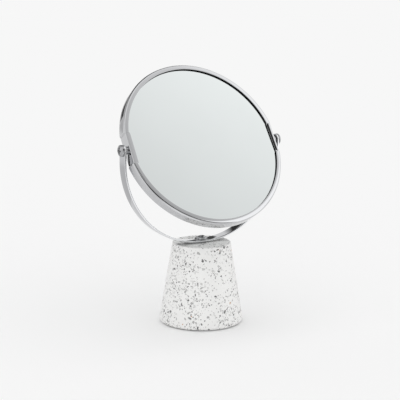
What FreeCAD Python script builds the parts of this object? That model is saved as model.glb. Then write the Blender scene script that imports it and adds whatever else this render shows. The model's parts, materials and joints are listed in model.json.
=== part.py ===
import FreeCAD, Part
import Sketcher
import math
import os

# A two-sided round table mirror in a bent strip yoke on a cast terrazzo cone. Millimetres, +Z up.
# The origin is the middle of the footprint. +X runs along the pivot axis and the plain glass faces -Y.
# At rest the head leans back by rest_tilt. It is drawn flat in its own frame, with the pivot axis
# along X and the plain glass facing +Z, and its placement stands it up in the yoke.

DOC = FreeCAD.newDocument("table_mirror")
SHEET = DOC.addObject("Spreadsheet::Sheet", "sizes")
SCRATCH_CELL = "Z1"

DRIVING_SIZES = (
    # base
    ("base_height", 83.9, "top of the cone above the table"),
    ("base_top_radius", 30.1, "cone radius at the top"),
    ("base_bottom_radius", 44.0, "cone radius at the bottom"),
    ("base_top_rounding", 0.8, "edge round the top of the cone"),
    ("base_bottom_rounding", 2.6, "edge round the bottom of the cone"),
    ("foot_ring_width", 7.5, "stone left round the pad's recess"),
    ("pad_thickness", 2.2, "foam pad"),
    ("pad_stand_out", 0.8, "pad below the stone"),
    ("pad_clearance", 0.5, "pad edge to the rim of its recess"),
    ("insert_radius", 4.4, "threaded insert in the stone"),
    ("insert_length", 14.0, "threaded insert"),
    ("insert_sink", 0.3, "insert below the top of the stone"),
    ("insert_glue_gap", 0.1, "glue round the insert"),
    ("insert_groove", 0.5, "depth and width of the insert's glue grooves"),
    # yoke
    ("arm_clearance", 0.8, "rim to the inside of each arm"),
    ("arm_straight", 11.7, "straight part of an arm, from the bend to the pivot"),
    ("yoke_width", 11.5, "strip"),
    ("yoke_gauge", 2.0, "strip"),
    ("yoke_edge_rounding", 0.45, "edges of the strip"),
    ("yoke_seat_half", 4.0, "half of the flat at the bottom of the bend"),
    ("seat_washer_radius", 5.6, "fibre washer under the yoke"),
    ("seat_washer_thickness", 0.6, "fibre washer under the yoke"),
    ("clamp_washer_radius", 7.0, "steel washer on the yoke"),
    ("clamp_washer_thickness", 0.8, "steel washer on the yoke"),
    ("clamp_washer_clearance", 0.01, "washer's edge above the start of the bend"),
    # screws
    ("head_radius", 6.2, "screw heads"),
    ("head_side", 1.3, "straight side of a screw head"),
    ("head_corner", 1.4, "rounding between side and crown"),
    ("head_crown", 0.6, "rise of the crown"),
    ("recess_half", 2.7, "cross recess, half of its span"),
    ("recess_slot", 1.2, "cross recess, width of a slot"),
    ("recess_depth", 1.9, "cross recess"),
    ("clamp_shank_radius", 2.5, "screw that clamps the yoke"),
    ("clamp_tip_clearance", 3.0, "tip of the clamp screw to the floor of its bore"),
    ("pivot_shank_radius", 2.0, "pivot screws"),
    ("pivot_tip_reach", 1.6, "tip of a pivot screw beyond its nut plate"),
    ("shank_chamfer", 0.4, "end of a shank"),
    ("thread_gap", 0.05, "shank to a threaded bore"),
    ("running_fit", 0.08, "pivot shank to the hole in an arm"),
    ("loose_fit", 0.2, "shank to a washer, collar or plain hole"),
    # pivots
    ("running_gap", 0.05, "arm to each friction washer"),
    ("inner_washer_thickness", 0.8, "nylon washer inside an arm"),
    ("outer_washer_thickness", 0.3, "nylon washer under a screw head"),
    ("friction_washer_radius", 4.6, "nylon washers"),
    ("collar_radius", 4.0, "collar between arm and rim"),
    # head
    ("rest_tilt", 33.0, "lean of the head, degrees"),
    ("rim_radius", 90.0, "rim"),
    ("rim_gauge", 0.5, "rim sheet"),
    ("rim_bead", 2.0, "rounding along both edges of the rim"),
    ("bezel_width", 5.4, "outside of the rim to its opening"),
    ("bezel_fall", 0.1, "bezel, lower at the glass than at the bead"),
    ("bezel_edge", 0.3, "chamfer of the bezel's inner edge"),
    ("flat_half", 16.1, "half length of a pressed flat"),
    ("flat_press", 2.8, "depth that a flat is pressed in"),
    ("lip_press", 2.6, "depth that the lip moves in along a flat"),
    ("glass_overlap", 0.6, "glass hidden behind the lip"),
    ("glass_thickness", 1.8, "both glasses"),
    ("glass_gap", 3.8, "between the glasses at their middle"),
    ("magnifier_sag", 3.4, "hollow of the magnifying glass"),
    ("spacer_inset", 1.2, "ring's outer edge inside the glasses' edge"),
    ("spacer_width", 10.2, "ring between the glasses"),
    ("spacer_gap", 0.05, "ring to the magnifying glass"),
    ("spacer_notch", 3.0, "half width of the notch for a pivot screw"),
    ("nut_thickness", 1.5, "nut plate"),
    ("nut_half_length", 11.0, "nut plate, along the rim"),
    ("nut_half_height", 3.3, "nut plate, across the rim"),
    ("nut_gap", 0.05, "nut plate to the inside of the flat"),
)


def fill_sheet():
    """Write the driving sizes, one to a row: the alias, the number and what it is."""
    for row, (alias, number, meaning) in enumerate(DRIVING_SIZES, start=1):
        SHEET.set(f"A{row}", alias)
        SHEET.set(f"B{row}", str(number))
        SHEET.setAlias(f"B{row}", alias)
        SHEET.set(f"C{row}", meaning)
    DOC.recompute()


def worth(expression):
    """The number that an expression on the sheet has now, to draw a sketch near its final shape."""
    SHEET.set(SCRATCH_CELL, "=" + expression.replace("sizes.", ""))
    SHEET.recompute()
    number = float(SHEET.get(SCRATCH_CELL))
    SHEET.clear(SCRATCH_CELL)
    return number


# Sizes that follow from the driving ones, as expressions on the sheet. Heights are above the table
# and reaches are along the pivot axis from the middle of the mirror.
RECESS_RADIUS = "(sizes.base_bottom_radius - sizes.foot_ring_width)"
BORE_FLOOR = "(sizes.base_height - sizes.insert_sink - sizes.insert_length)"

YOKE_FOOT = "(sizes.base_height + sizes.seat_washer_thickness)"
YOKE_INNER = "(sizes.rim_radius + sizes.arm_clearance)"
YOKE_OUTER = f"({YOKE_INNER} + sizes.yoke_gauge)"
BEND_INNER = f"({YOKE_INNER} - sizes.yoke_seat_half)"
BEND_OUTER = f"({YOKE_OUTER} - sizes.yoke_seat_half)"
PIVOT_IN_YOKE = f"({BEND_OUTER} + sizes.arm_straight)"
PIVOT_HEIGHT = f"({YOKE_FOOT} + {PIVOT_IN_YOKE})"
BEND_RISE = f"(sizes.clamp_washer_radius - sizes.yoke_seat_half) ^ 2 / (2 * {BEND_INNER})"
CLAMP_WASHER_FOOT = f"({YOKE_FOOT} + sizes.yoke_gauge + {BEND_RISE} + sizes.clamp_washer_clearance)"
CLAMP_HEAD_FOOT = f"({CLAMP_WASHER_FOOT} + sizes.clamp_washer_thickness)"
CLAMP_SHANK_LENGTH = f"({CLAMP_HEAD_FOOT} - {BORE_FLOOR} - sizes.clamp_tip_clearance)"

GLASS_BACK = "((sizes.magnifier_sag + sizes.glass_gap) / 2)"
GLASS_FACE = f"({GLASS_BACK} + sizes.glass_thickness)"
BEZEL_LOW = f"({GLASS_FACE} + sizes.rim_gauge)"
HALF_DEPTH = f"({BEZEL_LOW} + sizes.bezel_fall)"
HOLLOW_CORNER = "(sizes.rim_bead - sizes.bezel_fall - sizes.rim_gauge)"
OPENING = "(sizes.rim_radius - sizes.bezel_width)"
WEB_INSIDE = "(sizes.rim_radius - sizes.rim_gauge)"
FLAT_OUTSIDE = "(sizes.rim_radius - sizes.flat_press)"
FLAT_INSIDE = f"({FLAT_OUTSIDE} - sizes.rim_gauge)"
FLAT_LIP = f"({OPENING} - sizes.lip_press)"
GLASS_RADIUS = f"({OPENING} + sizes.glass_overlap)"
MAGNIFIER_CURVE = f"(({GLASS_RADIUS} ^ 2 + sizes.magnifier_sag ^ 2) / (2 * sizes.magnifier_sag))"
SPACER_OUTER = f"({GLASS_RADIUS} - sizes.spacer_inset)"
SPACER_INNER = f"({SPACER_OUTER} - sizes.spacer_width)"

OUTER_WASHER_FOOT = f"({YOKE_OUTER} + sizes.running_gap)"
PIVOT_HEAD_FOOT = f"({OUTER_WASHER_FOOT} + sizes.outer_washer_thickness)"
INNER_WASHER_FOOT = f"({YOKE_INNER} - sizes.running_gap - sizes.inner_washer_thickness)"
COLLAR_LENGTH = f"({INNER_WASHER_FOOT} - {FLAT_OUTSIDE})"
NUT_FACE = f"({FLAT_INSIDE} - sizes.nut_gap - sizes.nut_thickness)"
PIVOT_TIP = f"({NUT_FACE} - sizes.pivot_tip_reach)"
PIVOT_SHANK_LENGTH = f"({PIVOT_HEAD_FOOT} - {PIVOT_TIP})"


def new_body(label):
    """An empty body whose label is the sub-part's name."""
    body = DOC.addObject("PartDesign::Body", label)
    body.Label = label
    return body


def plane_of(body, role):
    """One of the body's own origin planes."""
    return next(item for item in body.Origin.OriginFeatures if item.Role == role)


def new_sketch(body, role, name, lift=None):
    """A sketch on one of the body's origin planes, raised along its normal by an expression."""
    sketch = body.newObject("Sketcher::SketchObject", name)
    sketch.AttachmentSupport = (plane_of(body, role), [""])
    sketch.MapMode = "FlatFace"
    if lift is not None:
        sketch.setExpression("AttachmentOffset.Base.z", lift)
    return sketch


def bind(sketch, constraint, expression):
    """Add a dimension and let the sheet drive it."""
    index = sketch.addConstraint(constraint)
    name = f"size_{index}"
    sketch.renameConstraint(index, name)
    sketch.setExpression(f"Constraints.{name}", expression)


def pin_point(sketch, geometry, point, place):
    """Hold a point at (x, y), both expressions. A coordinate of "0" puts it on the axis."""
    x_expression, y_expression = place
    if x_expression == "0":
        sketch.addConstraint(Sketcher.Constraint("PointOnObject", geometry, point, -2))
    else:
        distance = Sketcher.Constraint("DistanceX", -1, 1, geometry, point, worth(x_expression))
        bind(sketch, distance, x_expression)
    if y_expression == "0":
        sketch.addConstraint(Sketcher.Constraint("PointOnObject", geometry, point, -1))
    else:
        distance = Sketcher.Constraint("DistanceY", -1, 1, geometry, point, worth(y_expression))
        bind(sketch, distance, y_expression)


def arc_between(start, end, radius, side):
    """The shorter arc from start to end. side is 1 where its middle is on the left of that way, else -1."""
    chord = end - start
    middle = (start + end) * 0.5
    left = FreeCAD.Vector(-chord.y, chord.x, 0)
    left.normalize()
    offset = math.sqrt(max(radius ** 2 - (chord.Length / 2) ** 2, 0.0))
    crest = middle + left * (side * (radius - offset))
    return Part.Arc(start, crest, end)


def draw_outline(sketch, places, arcs=None):
    """A closed outline through places. arcs gives {corner it starts from: (radius, side)}."""
    arcs = arcs or {}
    spots = [FreeCAD.Vector(worth(x), worth(y), 0) for x, y in places]
    count = len(spots)
    for index, start in enumerate(spots):
        end = spots[(index + 1) % count]
        if index in arcs:
            radius, side = arcs[index]
            sketch.addGeometry(arc_between(start, end, worth(radius), side), False)
        else:
            sketch.addGeometry(Part.LineSegment(start, end), False)
    # An arc drawn clockwise is stored the other way round, so its ends are matched by their place.
    ends = []
    for index, start in enumerate(spots):
        first = sketch.getPoint(index, 1)
        ends.append((1, 2) if (first - start).Length < 1e-6 else (2, 1))
    for index in range(count):
        following = (index + 1) % count
        sketch.addConstraint(
            Sketcher.Constraint("Coincident", index, ends[index][1], following, ends[following][0])
        )
    for index, place in enumerate(places):
        pin_point(sketch, index, ends[index][0], place)
    for index, (radius, _) in arcs.items():
        bind(sketch, Sketcher.Constraint("Radius", index, worth(radius)), radius)


def draw_circle(sketch, place, radius):
    """A circle about place."""
    centre = FreeCAD.Vector(worth(place[0]), worth(place[1]), 0)
    geometry = sketch.addGeometry(Part.Circle(centre, FreeCAD.Vector(0, 0, 1), worth(radius)), False)
    pin_point(sketch, geometry, 3, place)
    bind(sketch, Sketcher.Constraint("Radius", geometry, worth(radius)), radius)


def revolve(body, sketch, name, kind="PartDesign::Revolution", angle=None):
    """Turn a sketch about its upright axis, all the way, or by an angle shared by both sides of it."""
    turned = body.newObject(kind, name)
    turned.Profile = sketch
    turned.ReferenceAxis = (sketch, ["V_Axis"])
    turned.Angle = 360
    if angle is not None:
        turned.Midplane = True
        turned.setExpression("Angle", angle)
    DOC.recompute()
    return turned


def extrude(body, sketch, name, length, kind="PartDesign::Pad", both_ways=False):
    """Pad or pocket a sketch by an expression's length."""
    feature = body.newObject(kind, name)
    feature.Profile = sketch
    feature.SideType = "Symmetric" if both_ways else "One side"
    feature.setExpression("Length", length)
    DOC.recompute()
    return feature


def round_edges(body, feature, name, radius, chosen):
    """Fillet those edges of a feature that chosen(edge) picks."""
    names = [f"Edge{i}" for i, edge in enumerate(feature.Shape.Edges, start=1) if chosen(edge)]
    fillet = body.newObject("PartDesign::Fillet", name)
    fillet.Base = (feature, names)
    fillet.setExpression("Radius", radius)
    DOC.recompute()
    return fillet


def is_ring_at(edge, height):
    """True for a full circle that lies level at a height."""
    bounds = edge.BoundBox
    return len(edge.Vertexes) == 1 and bounds.ZLength < 1e-6 and abs(bounds.ZMin - height) < 1e-6


def make_base_pad():
    body = new_body("base_pad")
    sketch = new_sketch(body, "XY_Plane", "pad_circle")
    draw_circle(sketch, ("0", "0"), f"{RECESS_RADIUS} - sizes.pad_clearance")
    extrude(body, sketch, "pad_disc", "sizes.pad_thickness")
    return body


def make_base_cone():
    """The cast cone, with a shallow recess for the pad and a bore for the insert."""
    body = new_body("base_cone")
    bore = "sizes.insert_radius + sizes.insert_glue_gap"
    sketch = new_sketch(body, "XZ_Plane", "cone_outline")
    draw_outline(sketch, (
        ("0", "sizes.pad_thickness"),
        (RECESS_RADIUS, "sizes.pad_thickness"),
        (RECESS_RADIUS, "sizes.pad_stand_out"),
        ("sizes.base_bottom_radius", "sizes.pad_stand_out"),
        ("sizes.base_top_radius", "sizes.base_height"),
        (bore, "sizes.base_height"),
        (bore, BORE_FLOOR),
        ("0", BORE_FLOOR),
    ))
    cone = revolve(body, sketch, "cone")
    foot = worth("sizes.pad_stand_out")
    foot_radius = worth("sizes.base_bottom_radius")
    bottom = round_edges(body, cone, "bottom_edge", "sizes.base_bottom_rounding", lambda edge: (
        is_ring_at(edge, foot) and abs(edge.Curve.Radius - foot_radius) < 1e-6))
    top = worth("sizes.base_height")
    top_radius = worth("sizes.base_top_radius")
    round_edges(body, bottom, "top_edge", "sizes.base_top_rounding", lambda edge: (
        is_ring_at(edge, top) and abs(edge.Curve.Radius - top_radius) < 1e-6))
    return body


def make_base_insert():
    """A brass insert with two glue grooves, bored for the clamp screw."""
    body = new_body("base_insert")
    bore = "sizes.clamp_shank_radius + sizes.thread_gap"
    skin = "sizes.insert_radius"
    waist = "sizes.insert_radius - sizes.insert_groove"
    places = [(bore, "0"), (skin, "0")]
    for third in (1, 2):
        low = f"{third} * sizes.insert_length / 3"
        high = f"{low} + sizes.insert_groove"
        places += [(skin, low), (waist, low), (waist, high), (skin, high)]
    places += [(skin, "sizes.insert_length"), (bore, "sizes.insert_length")]
    sketch = new_sketch(body, "XZ_Plane", "insert_outline")
    draw_outline(sketch, places)
    revolve(body, sketch, "insert")
    body.setExpression("Placement.Base.z", BORE_FLOOR)
    return body


def make_washer(label, outer, bore, thickness):
    """A flat ring that lies on its own XY plane."""
    body = new_body(label)
    sketch = new_sketch(body, "XY_Plane", f"{label}_rings")
    draw_circle(sketch, ("0", "0"), outer)
    draw_circle(sketch, ("0", "0"), bore)
    extrude(body, sketch, f"{label}_ring", thickness)
    return body


def make_screw(label, shank_radius, shank_length):
    """A pan-head screw that points down, its head standing on its own XY plane."""
    body = new_body(label)
    crown_reach = "sizes.head_radius - sizes.head_corner"
    shoulder = "sizes.head_side + sizes.head_corner"
    top = f"{shoulder} + sizes.head_crown"
    crown_radius = f"(({crown_reach}) ^ 2 + sizes.head_crown ^ 2) / (2 * sizes.head_crown)"
    sketch = new_sketch(body, "XZ_Plane", f"{label}_outline")
    draw_outline(sketch, (
        ("0", f"-{shank_length}"),
        (f"{shank_radius} - sizes.shank_chamfer", f"-{shank_length}"),
        (shank_radius, f"sizes.shank_chamfer - {shank_length}"),
        (shank_radius, "0"),
        ("sizes.head_radius", "0"),
        ("sizes.head_radius", "sizes.head_side"),
        (crown_reach, shoulder),
        ("0", top),
    ), arcs={5: ("sizes.head_corner", -1), 6: (crown_radius, -1)})
    revolve(body, sketch, f"{label}_turned")
    cross = new_sketch(body, "XY_Plane", f"{label}_cross", lift=top)
    reach = "sizes.recess_half"
    slot = "sizes.recess_slot / 2"
    back_reach = f"-{reach}"
    back_slot = f"-{slot}"
    draw_outline(cross, (
        (reach, back_slot), (reach, slot), (slot, slot), (slot, reach),
        (back_slot, reach), (back_slot, slot), (back_reach, slot), (back_reach, back_slot),
        (back_slot, back_slot), (back_slot, back_reach), (slot, back_reach), (slot, back_slot),
    ))
    extrude(body, cross, f"{label}_recess", "sizes.recess_depth", kind="PartDesign::Pocket")
    return body


def make_yoke():
    """The strip bent to a U, flat where it is clamped, with half-round ends about the pivots."""
    body = new_body("yoke")
    arm_top = f"{PIVOT_IN_YOKE} + sizes.yoke_width / 2"
    floor = "sizes.yoke_gauge"
    seat = "sizes.yoke_seat_half"
    sketch = new_sketch(body, "XZ_Plane", "yoke_outline")
    draw_outline(sketch, (
        (f"-{YOKE_OUTER}", arm_top), (f"-{YOKE_OUTER}", BEND_OUTER), (f"-{seat}", "0"),
        (seat, "0"), (YOKE_OUTER, BEND_OUTER), (YOKE_OUTER, arm_top),
        (YOKE_INNER, arm_top), (YOKE_INNER, BEND_OUTER), (seat, floor),
        (f"-{seat}", floor), (f"-{YOKE_INNER}", BEND_OUTER), (f"-{YOKE_INNER}", arm_top),
    ), arcs={1: (BEND_OUTER, -1), 3: (BEND_OUTER, -1), 7: (BEND_INNER, 1), 9: (BEND_INNER, 1)})
    extrude(body, sketch, "yoke_strip", "sizes.yoke_width", both_ways=True)
    trim_arm_ends(body, arm_top)
    drill_yoke(body)
    half_width = worth("sizes.yoke_width / 2")
    pivot = worth(PIVOT_IN_YOKE)
    shortest = worth("sizes.yoke_gauge * 1.5")

    def is_long_edge(edge):
        bounds = edge.BoundBox
        on_side = bounds.YLength < 1e-6 and abs(abs(bounds.YMin) - half_width) < 1e-6
        on_round_end = bounds.XLength < 1e-6 and bounds.ZMin > pivot - 1e-6
        return edge.Length > shortest and (on_side or on_round_end)

    round_edges(body, body.Tip, "yoke_edges", "sizes.yoke_edge_rounding", is_long_edge)
    body.setExpression("Placement.Base.z", YOKE_FOOT)
    return body


def trim_arm_ends(body, arm_top):
    """Round both arms off about the pivot axis."""
    half = "sizes.yoke_width / 2"
    back_half = f"-{half}"
    out = "sizes.yoke_width"
    back_out = f"-{out}"
    beyond = f"{arm_top} + sizes.yoke_gauge"
    sketch = new_sketch(body, "YZ_Plane", "arm_end_outline")
    draw_outline(sketch, (
        (back_out, PIVOT_IN_YOKE), (back_half, PIVOT_IN_YOKE), ("0", arm_top), (half, PIVOT_IN_YOKE),
        (out, PIVOT_IN_YOKE), (out, beyond), (back_out, beyond),
    ), arcs={1: (half, 1), 2: (half, 1)})
    extrude(body, sketch, "arm_ends", f"3 * {YOKE_OUTER}", kind="PartDesign::Pocket", both_ways=True)


def drill_yoke(body):
    """The two pivot holes and the clamp screw's hole."""
    pivots = new_sketch(body, "YZ_Plane", "pivot_hole_circle")
    draw_circle(pivots, ("0", PIVOT_IN_YOKE), "sizes.pivot_shank_radius + sizes.running_fit")
    extrude(body, pivots, "pivot_holes", f"3 * {YOKE_OUTER}", kind="PartDesign::Pocket", both_ways=True)
    clamp = new_sketch(body, "XY_Plane", "clamp_hole_circle")
    draw_circle(clamp, ("0", "0"), "sizes.clamp_shank_radius + sizes.loose_fit")
    extrude(body, clamp, "clamp_hole", "4 * sizes.yoke_gauge", kind="PartDesign::Pocket", both_ways=True)


def stand_on_axis(body, foot):
    """Put a piece of the clamp stack at its height on the Z axis."""
    body.setExpression("Placement.Base.z", foot)


def lay_on_pivot(body, side, foot):
    """Turn a piece of a pivot stack to point outward along X, its own XY plane at foot."""
    body.Placement = FreeCAD.Placement(
        FreeCAD.Vector(0, 0, 0), FreeCAD.Rotation(FreeCAD.Vector(0, 1, 0), side * 90))
    body.setExpression("Placement.Base.x", f"{side} * {foot}")
    body.setExpression("Placement.Base.z", PIVOT_HEIGHT)


def stand_in_yoke(body):
    """Stand a piece of the head up about the pivot axis, leaning back by the rest tilt."""
    body.Placement = FreeCAD.Placement(
        FreeCAD.Vector(0, 0, 0), FreeCAD.Rotation(FreeCAD.Vector(1, 0, 0), 90))
    body.setExpression("Placement.Base.z", PIVOT_HEIGHT)
    body.setExpression("Placement.Rotation.Angle", "90 - sizes.rest_tilt")


def mirrored(places, side):
    """The same places, on the other side of the upright axis where side is -1."""
    return tuple((f"{side} * ({x})", y) for x, y in places)


def rim_section(outer, lip, side):
    """Outside of the rolled section: bezel edge, bead, web, bead, bezel edge. Gives places and arcs."""
    bead = "sizes.rim_bead"
    edge = "sizes.bezel_edge"
    places = (
        (lip, f"-({BEZEL_LOW} - {edge})"), (f"{lip} + {edge}", f"-{BEZEL_LOW}"),
        (f"{outer} - {bead}", f"-{HALF_DEPTH}"), (outer, f"-({HALF_DEPTH} - {bead})"),
        (outer, f"{HALF_DEPTH} - {bead}"), (f"{outer} - {bead}", HALF_DEPTH),
        (f"{lip} + {edge}", BEZEL_LOW), (lip, f"{BEZEL_LOW} - {edge}"),
    )
    return mirrored(places, side), {2: (bead, side), 4: (bead, side)}


def rim_hollow(web, lip, side):
    """Inside of the rolled section, round-cornered and open between the lips. Gives places and arcs."""
    mouth = f"{lip} - sizes.rim_gauge"
    corner = f"{web} - {HOLLOW_CORNER}"
    shoulder = f"{GLASS_FACE} - {HOLLOW_CORNER}"
    places = (
        (mouth, f"-{GLASS_FACE}"), (corner, f"-{GLASS_FACE}"), (web, f"-({shoulder})"),
        (web, shoulder), (corner, GLASS_FACE), (mouth, GLASS_FACE),
    )
    return mirrored(places, side), {1: (HOLLOW_CORNER, side), 3: (HOLLOW_CORNER, side)}


def press_flat(body, side):
    """Press the rim into a straight flat at one pivot: the arc goes and a straight section comes."""
    name = "right" if side > 0 else "left"
    wide = "sizes.rim_radius + sizes.bezel_width"
    deep = f"{FLAT_LIP} - sizes.bezel_width"
    half = "sizes.flat_half"
    gap = new_sketch(body, "XY_Plane", f"gap_{name}")
    draw_outline(gap, mirrored(((deep, f"-{half}"), (wide, f"-{half}"), (wide, half), (deep, half)), side))
    extrude(body, gap, f"gap_cut_{name}", f"4 * {HALF_DEPTH}", kind="PartDesign::Pocket", both_ways=True)
    flat = new_sketch(body, "XZ_Plane", f"flat_{name}")
    draw_outline(flat, *rim_section(FLAT_OUTSIDE, FLAT_LIP, side))
    extrude(body, flat, f"flat_solid_{name}", "2 * sizes.flat_half", both_ways=True)


def hollow_flat(body, side):
    """Hollow a flat out as far as the hollow of the round rim, and drill it for the pivot screw."""
    name = "right" if side > 0 else "left"
    inside = new_sketch(body, "XZ_Plane", f"flat_inside_{name}")
    draw_outline(inside, *rim_hollow(FLAT_INSIDE, FLAT_LIP, side))
    extrude(body, inside, f"flat_hollow_{name}", "2 * (sizes.flat_half + sizes.rim_gauge)",
            kind="PartDesign::Pocket", both_ways=True)


def make_rim():
    """One ring of sheet, rolled to a channel that opens inward and pressed flat at both pivots."""
    body = new_body("rim")
    sketch = new_sketch(body, "XZ_Plane", "rim_outline")
    draw_outline(sketch, *rim_section("sizes.rim_radius", OPENING, 1))
    revolve(body, sketch, "rim_ring")
    for side in (1, -1):
        press_flat(body, side)
    # The hollow of the round part stops one gauge short of each flat, which leaves the step walls.
    sweep = f"180 - 2 * asin((sizes.flat_half + sizes.rim_gauge) / {WEB_INSIDE}) / 1 deg"
    for side in (1, -1):
        hollow = new_sketch(body, "YZ_Plane", f"hollow_{'top' if side > 0 else 'bottom'}")
        draw_outline(hollow, *rim_hollow(WEB_INSIDE, OPENING, side))
        revolve(body, hollow, f"hollow_cut_{'top' if side > 0 else 'bottom'}", "PartDesign::Groove", sweep)
    for side in (1, -1):
        hollow_flat(body, side)
    holes = new_sketch(body, "YZ_Plane", "rim_hole_circle")
    draw_circle(holes, ("0", "0"), "sizes.pivot_shank_radius + sizes.loose_fit")
    extrude(body, holes, "rim_holes", "3 * sizes.rim_radius", kind="PartDesign::Pocket", both_ways=True)
    stand_in_yoke(body)
    return body


def make_front_glass():
    body = new_body("front_glass")
    sketch = new_sketch(body, "XY_Plane", "front_glass_circle", lift=GLASS_BACK)
    draw_circle(sketch, ("0", "0"), GLASS_RADIUS)
    extrude(body, sketch, "front_glass_disc", "sizes.glass_thickness")
    stand_in_yoke(body)
    return body


def make_rear_glass():
    """The magnifying glass: a disc of even thickness, hollow on the side that faces out."""
    body = new_body("rear_glass")
    sketch = new_sketch(body, "XZ_Plane", "rear_glass_outline")
    draw_outline(sketch, (
        ("0", f"sizes.magnifier_sag - {GLASS_FACE}"), (GLASS_RADIUS, f"-{GLASS_FACE}"),
        (GLASS_RADIUS, f"-{GLASS_BACK}"), ("0", f"sizes.magnifier_sag - {GLASS_BACK}"),
    ), arcs={0: (MAGNIFIER_CURVE, 1), 2: (MAGNIFIER_CURVE, -1)})
    revolve(body, sketch, "rear_glass_disc")
    stand_in_yoke(body)
    return body


def make_glass_spacer():
    """A ring that holds the two glasses against their lips, notched for the pivot screws."""
    body = new_body("glass_spacer")
    inner_fall = f"sizes.magnifier_sag * ({SPACER_INNER} / {GLASS_RADIUS}) ^ 2"
    outer_fall = f"sizes.magnifier_sag * ({SPACER_OUTER} / {GLASS_RADIUS}) ^ 2"
    foot = f"sizes.magnifier_sag - {GLASS_BACK} + sizes.spacer_gap"
    sketch = new_sketch(body, "XZ_Plane", "spacer_outline")
    draw_outline(sketch, (
        (SPACER_INNER, f"{foot} - {inner_fall}"), (SPACER_OUTER, f"{foot} - {outer_fall}"),
        (SPACER_OUTER, GLASS_BACK), (SPACER_INNER, GLASS_BACK),
    ))
    revolve(body, sketch, "spacer_ring")
    half = "sizes.spacer_notch"
    near = f"{PIVOT_TIP} - sizes.shank_chamfer"
    far = f"{SPACER_OUTER} + sizes.rim_gauge"
    corners = ((near, f"-{half}"), (far, f"-{half}"), (far, half), (near, half))
    for side in (1, -1):
        name = "right" if side > 0 else "left"
        notch = new_sketch(body, "XY_Plane", f"notch_{name}")
        draw_outline(notch, mirrored(corners, side))
        extrude(body, notch, f"notch_cut_{name}", f"2 * {HALF_DEPTH}",
                kind="PartDesign::Pocket", both_ways=True)
    stand_in_yoke(body)
    return body


def make_nut_plate(side):
    """A plate behind a pressed flat, tapped for the pivot screw."""
    name = "right" if side > 0 else "left"
    body = new_body(f"nut_plate_{name}")
    lift = NUT_FACE if side > 0 else f"-{NUT_FACE}"
    half = "sizes.nut_half_length"
    tall = "sizes.nut_half_height"
    sketch = new_sketch(body, "YZ_Plane", f"nut_outline_{name}", lift=lift)
    draw_outline(sketch, ((f"-{half}", f"-{tall}"), (half, f"-{tall}"), (half, tall), (f"-{half}", tall)))
    plate = extrude(body, sketch, f"nut_solid_{name}", "sizes.nut_thickness")
    plate.Reversed = side < 0
    bore = new_sketch(body, "YZ_Plane", f"nut_bore_{name}")
    draw_circle(bore, ("0", "0"), "sizes.pivot_shank_radius + sizes.thread_gap")
    extrude(body, bore, f"nut_hole_{name}", "3 * sizes.rim_radius",
            kind="PartDesign::Pocket", both_ways=True)
    stand_in_yoke(body)
    return body


def make_clamp_stack():
    """Fibre washer, steel washer and screw that hold the yoke down on the stone."""
    loose = "sizes.clamp_shank_radius + sizes.loose_fit"
    seat = make_washer("yoke_seat_washer", "sizes.seat_washer_radius", loose, "sizes.seat_washer_thickness")
    stand_on_axis(seat, "sizes.base_height")
    washer = make_washer("yoke_washer", "sizes.clamp_washer_radius", loose, "sizes.clamp_washer_thickness")
    stand_on_axis(washer, CLAMP_WASHER_FOOT)
    screw = make_screw("yoke_screw", "sizes.clamp_shank_radius", CLAMP_SHANK_LENGTH)
    stand_on_axis(screw, CLAMP_HEAD_FOOT)
    return [seat, washer, screw]


def make_pivot_stack(side):
    """Screw, two friction washers and collar of one pivot, from the outside in."""
    name = "right" if side > 0 else "left"
    loose = "sizes.pivot_shank_radius + sizes.loose_fit"
    screw = make_screw(f"pivot_screw_{name}", "sizes.pivot_shank_radius", PIVOT_SHANK_LENGTH)
    lay_on_pivot(screw, side, PIVOT_HEAD_FOOT)
    outer = make_washer(f"outer_washer_{name}", "sizes.friction_washer_radius", loose,
                        "sizes.outer_washer_thickness")
    lay_on_pivot(outer, side, OUTER_WASHER_FOOT)
    inner = make_washer(f"inner_washer_{name}", "sizes.friction_washer_radius", loose,
                        "sizes.inner_washer_thickness")
    lay_on_pivot(inner, side, INNER_WASHER_FOOT)
    collar = make_washer(f"pivot_collar_{name}", "sizes.collar_radius", loose, COLLAR_LENGTH)
    lay_on_pivot(collar, side, FLAT_OUTSIDE)
    return [screw, outer, inner, collar]


def build():
    """Make every sub-part and hand them back as a list of bodies."""
    fill_sheet()
    bodies = [make_base_pad(), make_base_cone(), make_base_insert(), make_yoke()]
    bodies += make_clamp_stack()
    for side in (-1, 1):
        bodies += make_pivot_stack(side)
        bodies.append(make_nut_plate(side))
    bodies += [make_rim(), make_front_glass(), make_rear_glass(), make_glass_spacer()]
    DOC.recompute()
    return bodies


def check(bodies):
    """Stop before anything is written if an object failed or a sub-part isn't one good solid."""
    for item in DOC.Objects:
        if "Invalid" in item.State or "Error" in item.State:
            raise RuntimeError(f"{item.Label} failed: {item.State}")
    for body in bodies:
        shape = body.Shape
        if shape.isNull() or not shape.isValid() or len(shape.Solids) != 1:
            raise RuntimeError(f"{body.Label} is not one valid solid")


def write(bodies):
    """Write each sub-part to its own STEP file."""
    os.makedirs("parts", exist_ok=True)
    for body in bodies:
        body.Shape.exportStep(os.path.join("parts", f"{body.Label}.step"))
        print(f"{body.Label}: {body.Shape.Volume:.1f} mm3")


SUB_PARTS = build()
check(SUB_PARTS)
write(SUB_PARTS)
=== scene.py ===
import bpy
import bmesh
import json
import math
from mathutils import Matrix, Vector

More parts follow.
